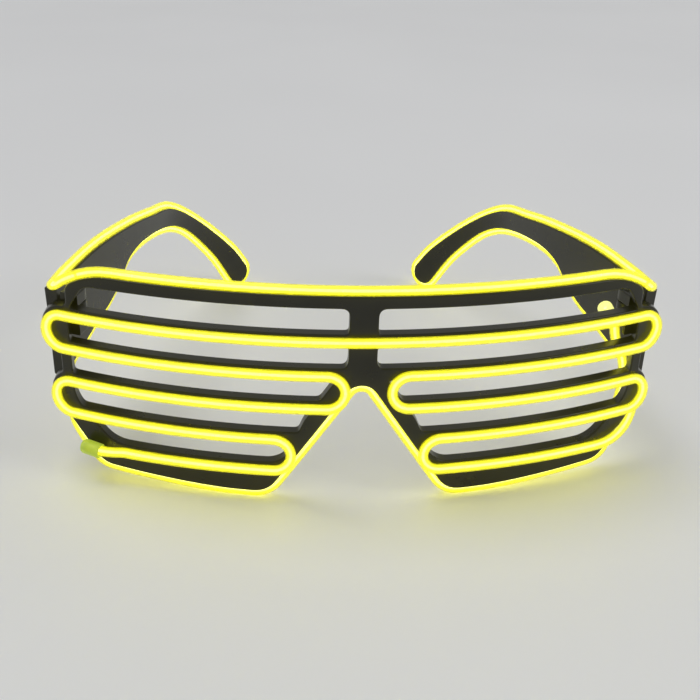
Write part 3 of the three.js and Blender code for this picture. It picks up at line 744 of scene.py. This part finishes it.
def front_outline():
    """The whole front's outline, but for the tongues under the outer loops."""
    rim = rim_line()
    right = brow_edge()
    lower = moved_aside([*other_side(rim[::-1]), *rim], SEAT_OFFSET)
    return np.array([*lower, *right[::-1], *other_side(right)[1:]])


def circle(centre, radius):
    start = np.add(centre, (radius, 0))
    angles = [2 * math.pi * side / ROUND_SIDES for side in range(ROUND_SIDES)]
    return np.array([turned(start, centre, angle) for angle in angles])


def loop_pad(loop, row):
    """The round-ended tongue of the moulding under an outer loop of the wire."""
    half = ROW_PITCH / 2
    radius = half + WIRE_RADIUS + LOOP_MARGIN
    outer = (loop - half, row_up(row) + half)
    inner = (min(outer[0], SIDE_EDGE - radius), outer[1])
    ends = np.array([circle(inner, radius), circle(outer, radius)])
    quarter = ROUND_SIDES // 4
    outer_half = [*ends[1][-quarter:], *ends[1][: quarter + 1]]
    return np.array([*outer_half, *ends[0][quarter : 3 * quarter + 1]])


def slat_strip(row):
    """A slat's outline, right across the front."""
    reach = SIDE_EDGE + OVERRUN
    low, high = row_up(row) - SLAT_HEIGHT / 2, row_up(row) + SLAT_HEIGHT / 2
    return np.array([(-reach, low), (reach, low), (reach, high), (-reach, high)])


def knuckle(name, heading, length, foot, height):
    """A knuckle round the right hinge's axis, with a tongue towards the piece that carries it."""
    centre = np.array((HINGE_X, HINGE_Y))
    half = ROUND_SIDES // 2
    start = centre + np.array((KNUCKLE_RADIUS, 0))
    angles = [heading + math.pi * (0.5 + side / half) for side in range(half + 1)]
    points = [turned(start, centre, angle) for angle in angles]
    ahead = np.array((math.cos(heading), math.sin(heading))) * length
    outline = softened(np.array([*points, points[-1] + ahead, points[0] + ahead]))
    bore = circle(centre, PIN_RADIUS + PIN_CLEARANCE)[::-1]

    def placed(flat, depth):
        return np.column_stack([flat, np.full(len(flat), foot + height - depth)])

    return plate(name, [outline, bore], height, KNUCKLE_EDGE, placed)


def ahead_of(depth):
    """A thick sheet in front of the right half's face, down to this depth behind it."""
    near, far = ARM_END_X - SHEET_REACH, ARM_END_X + SHEET_REACH
    sheet = np.array([(near, 0), (far, 0), (far, FRONT_TOP), (near, FRONT_TOP), (near, 0)], float)

    def placed(points, behind):
        return drawn_through(points, behind - OVERRUN)

    return plate("ahead", [np.array(divided(sheet)[:-1])], depth + OVERRUN, 0, placed)


def hinge_lugs():
    """The two lugs behind the right rim, which the front takes up."""
    heading = math.radians(LUG_LEAN) - math.pi / 2
    length = (HINGE_Y - inside_wall(HINGE_X, 0)[1]) / math.cos(math.radians(LUG_LEAN))
    reach = SIDE_EDGE + OVERRUN
    sheet = np.array([(0, -OVERRUN), (reach, -OVERRUN), (reach, FRONT_TOP), (0, FRONT_TOP)])
    around = region_loops([sheet, front_outline()], lambda holders: holders == {0})
    cutters = [
        plate("plug", [np.array(opening_line())], FRONT_WALL, 0, drawn_through),
        plate("around", around, FRONT_WALL, 0, drawn_through),
        ahead_of(SEAT_DEPTH),
    ]
    feet = (HINGE_FOOT, LUG_TOP_FOOT)
    lugs = [knuckle("lug", heading, length, foot, LUG_HEIGHT) for foot in feet]
    for cutter in cutters:
        combined(lugs[0], cutter, "DIFFERENCE", keep_tool=True)
        combined(lugs[1], cutter, "DIFFERENCE")
    return lugs


def front_moulding(channel):
    """Brow, bridge, rims and slats in one, with a seat for the wire along all of them."""
    right_opening = np.array(opening_line())
    pads = [loop_pad(OUTER_LOOP_HIGH, SLAT_ROWS - 1), loop_pad(OUTER_LOOP_LOW, 1)]
    pads += [np.array(other_side(pad)) for pad in pads]
    openings = [right_opening, np.array(other_side(right_opening))]
    strips = [slat_strip(row) for row in range(1, SLAT_ROWS + 1)]
    shapes = [front_outline(), *pads, *openings, *strips]
    solid = set(range(len(pads) + 1))
    gaps = {len(solid), len(solid) + 1}

    def kept(holders):
        return bool(holders & solid) and (not holders & gaps or max(holders) > max(gaps))

    loops = region_loops(shapes, kept)
    moulding = plate("front_moulding", loops, FRONT_WALL, EDGE_RADIUS, drawn_through)
    for lug in hinge_lugs():
        combined(moulding, mirrored(lug, "lug_left"), "UNION")
        combined(moulding, lug, "UNION")
    return combined(moulding, channel, "DIFFERENCE", keep_tool=True)


# Temples


def arm_ring(lower, upper):
    """The temple's section between two places on its lower and upper edges, its corners rounded."""
    rise = unit(upper - lower)
    height = np.linalg.norm(upper - lower)
    radius = min(EDGE_RADIUS, height / 3)
    out = ARM_THICKNESS / 2 - radius
    top = height - radius
    corners = [(out, radius), (out, top), (-out, top), (-out, radius)]
    ring = []
    for quarter, (across, up) in enumerate(corners, -1):
        for side in range(EDGE_SIDES + 1):
            angle = math.pi * (quarter / 2 + side / EDGE_SIDES / 2)
            along, level = lower + rise * (up + radius * math.sin(angle))
            ring.append(on_arm(along, level, across + radius * math.cos(angle)))
    return ring


def temple_moulding():
    """The right temple, cut back from the front."""
    lines = []
    for line, distance in ((LOWER_LINE, SEAT_OFFSET), (UPPER_LINE, -SEAT_OFFSET)):
        edge = moved_aside(line, distance)
        lines.append([edge[0] - np.array((OVERRUN, 0)), *edge])
    rings = [arm_ring(lower, upper) for lower, upper in zip(*lines)]
    step = math.radians(TURN_STEP)
    for turn in np.arange(math.pi / 2 - step, step, -step):
        radius = ARM_TIP_RADIUS - SEAT_OFFSET
        rings.append(arm_ring(round_tip(radius, -turn), round_tip(radius, turn)))
    around = len(rings[0])
    faces = ring_faces(len(rings), around)
    faces.append(list(range(around)))
    faces.append(list(range((len(rings) - 1) * around, len(rings) * around)))
    blade = mesh_object("temple_blade", [place for ring in rings for place in ring], faces)
    heading = math.radians(ARM_TOE_IN)
    to_middle = (ARM_END_X - HINGE_X) * math.cos(heading)
    to_middle += (ARM_END_Y - HINGE_Y) * math.sin(heading)
    foot = HINGE_FOOT + LUG_HEIGHT + KNUCKLE_GAP
    combined(blade, knuckle("arm_knuckle", heading, to_middle, foot, ARM_KNUCKLE_HEIGHT), "UNION")
    return combined(blade, ahead_of(FRONT_WALL + ARM_END_GAP), "DIFFERENCE")


# Small pieces


def lathed(name, profile, foot, ahead, closed=False):
    """A round piece turned from a profile of (out, along) about a line from foot.

    A closed profile comes back to its start, and any other gets a face over each end.
    """
    ahead = unit(np.array(ahead, float))
    across = unit(np.cross(ahead, (1, 0, 0) if abs(ahead[0]) < ALONG_X else (0, 1, 0)))
    upright = np.cross(ahead, across)
    angles = 2 * math.pi * np.arange(ROUND_SIDES) / ROUND_SIDES
    places = []
    for out, along in profile:
        ring = np.cos(angles)[:, None] * across + np.sin(angles)[:, None] * upright
        places.append(np.array(foot) + ahead * along + ring * out)
    faces = ring_faces(len(profile), ROUND_SIDES)
    last = (len(profile) - 1) * ROUND_SIDES
    if closed:
        for point in range(ROUND_SIDES):
            beside = (point + 1) % ROUND_SIDES
            faces.append([last + point, last + beside, beside, point])
    else:
        faces.append(list(range(ROUND_SIDES)))
        faces.append(list(range(last, last + ROUND_SIDES)))
    return mesh_object(name, np.vstack(places), faces)


def pin(name, side):
    """A hinge pin, with its head on the upper lug."""
    top = HINGE_TOP + PIN_HEAD_HEIGHT
    corners = [
        (PIN_RADIUS - PIN_EDGE, HINGE_FOOT),
        (PIN_RADIUS, HINGE_FOOT + PIN_EDGE),
        (PIN_RADIUS, HINGE_TOP),
        (PIN_HEAD_RADIUS, HINGE_TOP, PIN_EDGE),
        (PIN_HEAD_RADIUS, top, PIN_HEAD_HEIGHT / 2),
        (PIN_HEAD_RADIUS * POINT_SHARE, top),
    ]
    return lathed(name, rounded_line(corners), (side * HINGE_X, HINGE_Y, 0), (0, 0, 1))


def sleeve(name, end, before, length, overlap, hole):
    """A round-ended sleeve pushed over the wire's end, shrunk on to it."""
    bore = WIRE_RADIUS + SLEEVE_CLEARANCE
    outside = bore + SLEEVE_WALL
    innermost = max(hole, SLEEVE_LIP * POINT_SHARE)
    corners = [
        (innermost, overlap + SLEEVE_CLEARANCE),
        (bore, overlap + SLEEVE_CLEARANCE),
        (bore, 0, SLEEVE_LIP),
        (outside, 0, SLEEVE_LIP),
        (outside, length, SLEEVE_ROUND),
        (innermost, length),
    ]
    ahead = unit(end - before)
    return lathed(name, rounded_line(corners), end - ahead * overlap, ahead, closed=True)


# Materials


def noise(tree, scale, detail, stretch=(1, 1, 1)):
    """A noise over the piece's own places, with its grain in turns to the metre."""
    place = tree.nodes.new("ShaderNodeTexCoord")
    mapping = tree.nodes.new("ShaderNodeMapping")
    mapping.inputs["Scale"].default_value = stretch
    texture = tree.nodes.new("ShaderNodeTexNoise")
    texture.inputs["Scale"].default_value = scale
    texture.inputs["Detail"].default_value = detail
    tree.links.new(place.outputs["Object"], mapping.inputs["Vector"])
    tree.links.new(mapping.outputs["Vector"], texture.inputs["Vector"])
    return texture.outputs["Fac"]


def spread(tree, value, low, high):
    """The value of a noise, laid out between two numbers."""
    node = tree.nodes.new("ShaderNodeMapRange")
    node.inputs["From Min"].default_value = NOISE_LOW
    node.inputs["From Max"].default_value = NOISE_HIGH
    node.inputs["To Min"].default_value = low
    node.inputs["To Max"].default_value = high
    tree.links.new(value, node.inputs["Value"])
    return node.outputs["Result"]


def coloured(tree, value, low, high):
    """A colour between two, by the value of a noise."""
    node = tree.nodes.new("ShaderNodeMix")
    node.data_type = "RGBA"
    node.inputs["A"].default_value = (*low, 1)
    node.inputs["B"].default_value = (*high, 1)
    tree.links.new(spread(tree, value, 0, 1), node.inputs["Factor"])
    return node.outputs["Result"]


def surface(name, colours, mottle, roughness, wear, relief=None, stretch=(1, 1, 1), **sockets):
    """A material whose colour and roughness vary between two values, with a fine relief.

    mottle, wear and relief start with the grain and the detail of their noise. The relief goes on
    with its depth in metres and its strength. The rest are values of the shader's own sockets.
    """
    made = bpy.data.materials.new(name)
    made.use_nodes = True
    tree = made.node_tree
    shader = tree.nodes["Principled BSDF"]
    for socket, value in sockets.items():
        shader.inputs[socket.replace("_", " ")].default_value = value
    colour = coloured(tree, noise(tree, *mottle), *colours)
    tree.links.new(colour, shader.inputs["Base Color"])
    rough = spread(tree, noise(tree, *wear, stretch), *roughness)
    tree.links.new(rough, shader.inputs["Roughness"])
    if relief:
        grain, detail, depth, strength = relief
        bump = tree.nodes.new("ShaderNodeBump")
        bump.inputs["Strength"].default_value = strength
        bump.inputs["Distance"].default_value = depth
        tree.links.new(noise(tree, grain, detail, stretch), bump.inputs["Height"])
        tree.links.new(bump.outputs["Normal"], shader.inputs["Normal"])
    return made


def lit(name, alpha, glow, strength, colours):
    """One layer of the wire. The outer ones are clear and glow from the core's light in them."""
    return surface(
        name,
        colours,
        mottle=(150, 3),
        roughness=(0.18, 0.3),
        wear=(500, 3),
        relief=(900, 2, 0.00002, 0.4),
        IOR=1.5,
        Alpha=alpha,
        Emission_Color=(*glow, 1),
        Emission_Strength=strength,
    )


def shrunk(name, alpha, glow, strength, colours):
    """A shrink sleeve, its emission a painted glow for the light of the wire inside it."""
    return surface(
        name,
        colours,
        mottle=(600, 4),
        roughness=(0.3, 0.45),
        wear=(900, 3),
        relief=(1300, 3, 0.00005, 0.6),
        IOR=1.45,
        Alpha=alpha,
        Emission_Color=(*glow, 1),
        Emission_Strength=strength,
    )


PLASTIC = surface(
    "black_moulding",
    colours=((0.005, 0.005, 0.0055), (0.009, 0.009, 0.0095)),
    mottle=(120, 2),
    roughness=(0.27, 0.29),
    wear=(220, 4),
    relief=(1400, 3, 0.00001, 0.2),
    IOR=1.49,
    Specular_IOR_Level=0.36,
)
SHEATH = lit(
    "glowing_sheath",
    alpha=0.6,
    glow=(1, 0.93, 0.01),
    strength=0.36,
    colours=((0.42, 0.4, 0.01), (0.5, 0.48, 0.015)),
)
MIDDLE = lit(
    "glowing_middle",
    alpha=0.7,
    glow=(1, 0.97, 0.05),
    strength=1.5,
    colours=((0.5, 0.48, 0.03), (0.6, 0.58, 0.05)),
)
CORE = lit(
    "glowing_core",
    alpha=1,
    glow=(1, 1, 0.42),
    strength=6,
    colours=((0.85, 0.84, 0.5), (0.95, 0.94, 0.6)),
)
STEEL = surface(
    "pin_steel",
    colours=((0.42, 0.42, 0.43), (0.56, 0.56, 0.56)),
    mottle=(900, 3),
    roughness=(0.22, 0.42),
    wear=(3000, 2),
    relief=(5000, 2, 0.00001, 0.4),
    stretch=(1, 1, 0.1),
    Metallic=1.0,
)
# The sleeves' emission is a painted glow: the wire's light shining through them, painted on as
# their own.
CAP_SLEEVE = shrunk(
    "sleeve_painted_dim_glow",
    alpha=0.75,
    glow=(0.62, 0.8, 0.08),
    strength=0.36,
    colours=((0.22, 0.28, 0.02), (0.3, 0.37, 0.04)),
)
FEED_SLEEVE = shrunk(
    "sleeve_painted_bright_glow",
    alpha=0.6,
    glow=(1, 1, 0.34),
    strength=0.9,
    colours=((0.42, 0.44, 0.08), (0.52, 0.54, 0.14)),
)


# The pieces


def add_wire(run, nodes, bodies):
    """One run of the wire, its sheath over its lit layers, on one body, or on none where it crosses
    between two.
    """
    first, last = run_range(run)
    layers = [
        ("sheath", WIRE_RADIUS, SHEATH),
        ("middle", MIDDLE_RADIUS, MIDDLE),
        ("core", CORE_RADIUS, CORE),
    ]
    for layer, radius, look in layers:
        piece = finished(tube(f"{layer}_{run}", first, last, radius), look)
        if layer == "sheath":
            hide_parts(*nodes)
        if len(bodies) == 1:
            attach(piece, bodies[0])
        else:
            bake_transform(piece)


def add_wires():
    lower = ["wire_feed", "wire_rim_right", "wire_nose", "wire_rim_left", "wire_riser_left"]
    add_wire("under_lenses", lower, ["front"])
    add_wire("over_brow", ["wire_brow"], ["front"])
    add_wire("over_slats", ["wire_riser_right", "wire_rows"], ["front"])
    for side in ("left", "right"):
        strands = [f"wire_{part}_{side}" for part in ("lower", "tip", "upper")]
        add_wire(f"round_temple_{side}", strands, [f"{side}_temple"])
        for level in ("low", "top"):
            crossing = f"wire_crossing_{level}_{side}"
            add_wire(f"bend_{level}_{side}", [crossing], ["front", f"{side}_temple"])


def add_mouldings():
    channel = tube("channel", 0, len(ROUTE) - 1, WIRE_RADIUS + SEAT_CLEARANCE)
    front = finished(front_moulding(channel), PLASTIC, moulded=True)
    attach(front, "front")
    slats = [f"slat_{row}_{side}" for row in range(2, SLAT_ROWS + 2) for side in ("left", "right")]
    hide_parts("front_frame", *slats)
    right = temple_moulding()
    right.name = "temple_moulding_right"
    left = mirrored(right, "temple_moulding_left")
    for temple, side in ((right, "right"), (left, "left")):
        combined(temple, channel, "DIFFERENCE", keep_tool=True)
        finished(temple, PLASTIC, moulded=True)
        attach(temple, f"{side}_temple")
        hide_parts(f"temple_{side}")
    bpy.data.objects.remove(channel)


def add_small_pieces():
    for side, way in (("left", -1), ("right", 1)):
        made = finished(pin(f"pin_{side}", way), STEEL)
        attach(made, "front")
        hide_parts(f"hinge_pin_{side}")
    cap = sleeve("wire_end_cap", ROUTE[-1], ROUTE[-2], CAP_LENGTH, CAP_OVERLAP, 0)
    feed = sleeve(
        "wire_feed_sleeve",
        ROUTE[0],
        ROUTE[1],
        FEED_SLEEVE_LENGTH,
        FEED_SLEEVE_OVERLAP,
        LEAD_HOLE_RADIUS,
    )
    for made, look, node in ((cap, CAP_SLEEVE, "end_cap"), (feed, FEED_SLEEVE, "feed_sleeve")):
        finished(made, look)
        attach(made, "front")
        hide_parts(node)


# The studio


def add_floor():
    mesh = bpy.data.meshes.new("floor")
    ways = ((-1, -1), (1, -1), (1, 1), (-1, 1))
    mesh.from_pydata([(x * FLOOR_REACH, y * FLOOR_REACH, 0) for x, y in ways], [], [[0, 1, 2, 3]])
    floor = bpy.data.objects.new("floor", mesh)
    bpy.context.scene.collection.objects.link(floor)
    floor.location.z = -FLOOR_DROP
    pale = surface(
        "floor",
        colours=((0.79, 0.79, 0.785), (0.82, 0.82, 0.815)),
        mottle=(3, 2),
        roughness=(0.5, 0.6),
        wear=(14, 2),
        IOR=1.4,
    )
    mesh.materials.append(pale)


def add_light(name, kind, place, power, **shape):
    """A light that faces the glasses."""
    light = bpy.data.lights.new(name, kind)
    light.energy = power
    for part, value in shape.items():
        setattr(light, part, value)
    lamp = bpy.data.objects.new(name, light)
    bpy.context.scene.collection.objects.link(lamp)
    lamp.location = place
    lamp.rotation_euler = (-Vector(place)).to_track_quat("-Z", "Y").to_euler()


def add_studio():
    add_floor()
    add_light("sky_panel", "SUN", SKY_PLACE, SKY_POWER, angle=math.radians(SKY_SPREAD))
    add_light(
        "softbox_right", "AREA", SOFTBOX_PLACE, SOFTBOX_POWER, shape="DISK", size=SOFTBOX_WIDTH
    )
    world = bpy.data.worlds.new("studio")
    world.use_nodes = True
    background = world.node_tree.nodes["Background"]
    background.inputs["Color"].default_value = AIR_COLOUR
    background.inputs["Strength"].default_value = AIR_POWER
    scene = bpy.context.scene
    scene.world = world
    scene.view_settings.view_transform = "Standard"
    scene.view_settings.look = "None"
    scene.cycles.transparent_max_bounces = CLEAR_LAYERS
    scene.cycles.use_denoising = True


def add_glow():
    """A faint bloom round the lit wire."""
    scene = bpy.context.scene
    scene.use_nodes = True
    tree = scene.node_tree
    glare = tree.nodes.new("CompositorNodeGlare")
    glare.glare_type = "BLOOM"
    for socket, value in BLOOM.items():
        glare.inputs[socket].default_value = value
    tree.links.new(tree.nodes["Render Layers"].outputs["Image"], glare.inputs["Image"])
    tree.links.new(glare.outputs["Image"], tree.nodes["Composite"].inputs["Image"])


def add_camera():
    """The camera, where the photograph was taken from."""
    data = bpy.data.cameras.new("camera")
    data.lens = CAMERA_LENS
    data.clip_start = CAMERA_NEAREST
    camera = bpy.data.objects.new("camera", data)
    bpy.context.scene.collection.objects.link(camera)
    camera.location = in_frame(CAMERA_PLACE)
    look = (in_frame(CAMERA_TARGET) - camera.location).to_track_quat("-Z", "Y")
    roll = Matrix.Rotation(math.radians(CAMERA_ROLL), 4, "Z").to_quaternion()
    camera.rotation_mode = "QUATERNION"
    camera.rotation_quaternion = look @ roll
    bpy.context.scene.camera = camera


add_camera()
add_studio()
add_glow()
add_wires()
add_mouldings()
add_small_pieces()
